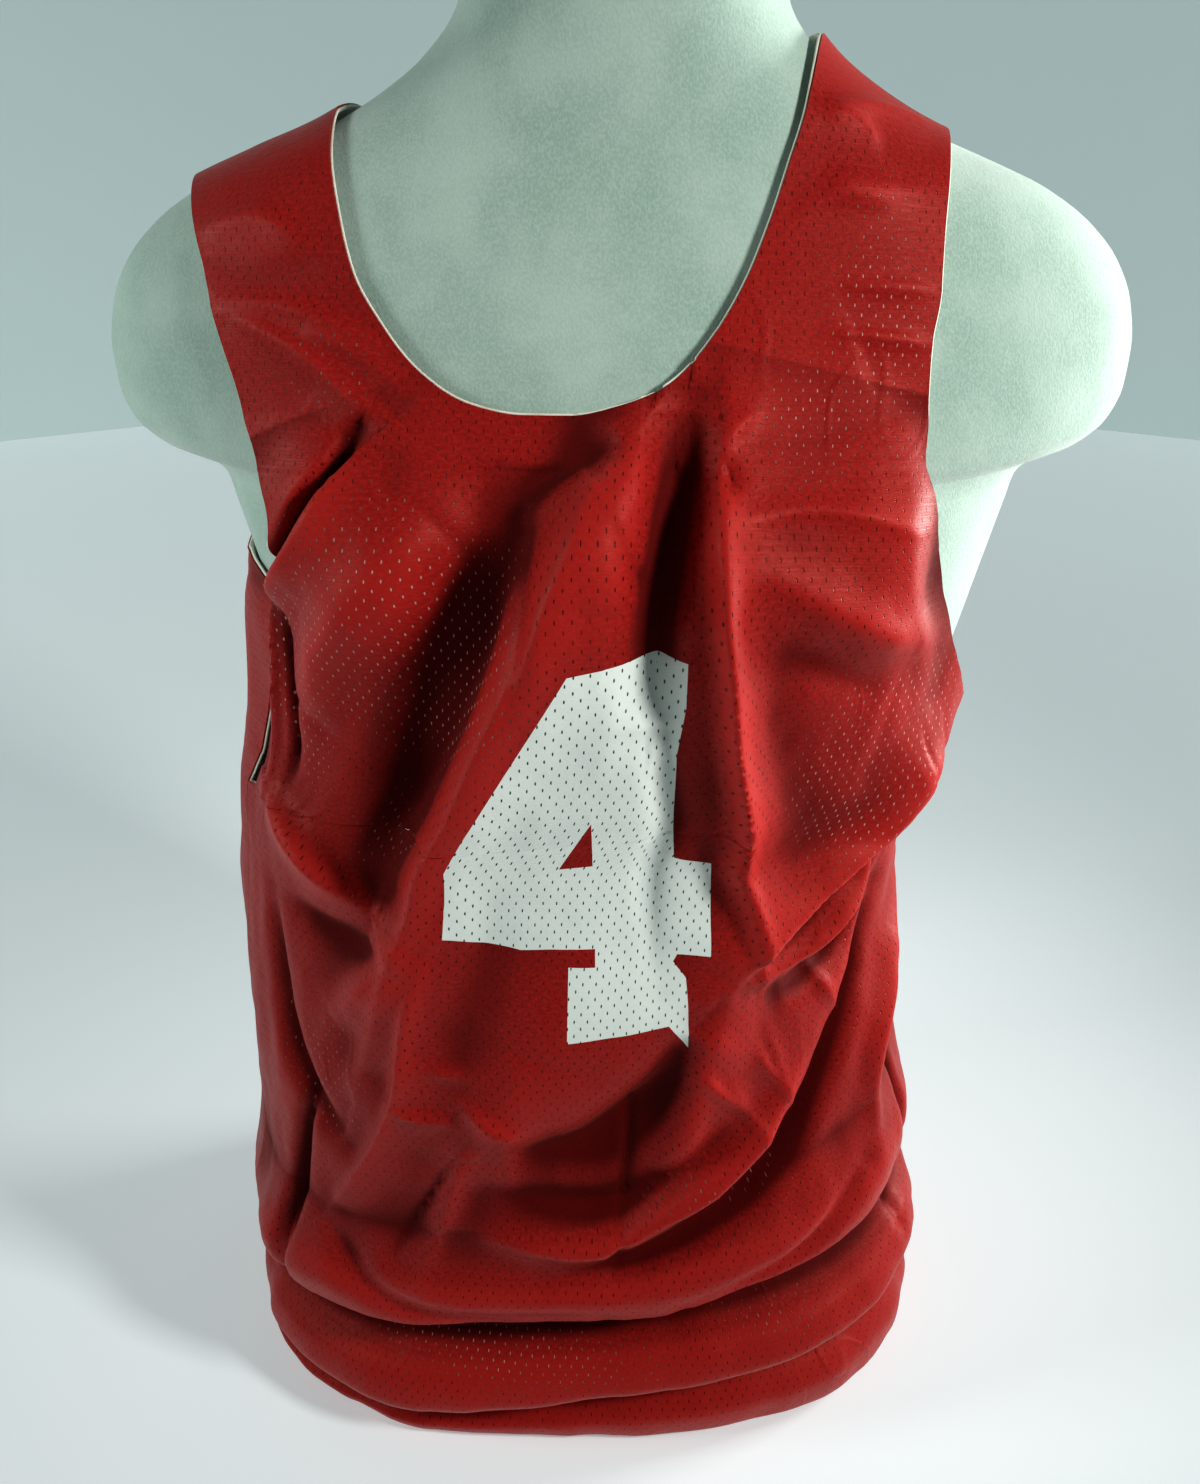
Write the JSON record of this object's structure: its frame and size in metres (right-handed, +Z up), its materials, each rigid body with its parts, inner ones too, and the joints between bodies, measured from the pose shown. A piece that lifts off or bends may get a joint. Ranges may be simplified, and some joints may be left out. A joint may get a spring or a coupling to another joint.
{
  "type": "basketball jersey on a display torso form",
  "caption": "Sleeveless reversible mesh jersey with a scooped neck, draped over a limbless torso form and slumped in soft rolls at its hem.",
  "frame": {"origin": "centre of the bounding box on the surface that the torso stands on", "axes": "+Z up the torso, -Y out of the chest, +X towards the wearer's left"},
  "size_m": [0.496, 0.312, 0.83],
  "materials": {
    "form_cloth": "pale felt-like cover",
    "red_mesh": "satin knitted mesh",
    "white_mesh": "matt knitted mesh"
  },
  "bodies": {
    "root": {"display_form": "form_cloth", "front_panel": "red_mesh", "back_panel": "red_mesh", "front_lining": "white_mesh", "back_lining": "white_mesh"}
  },
  "joints": []
}
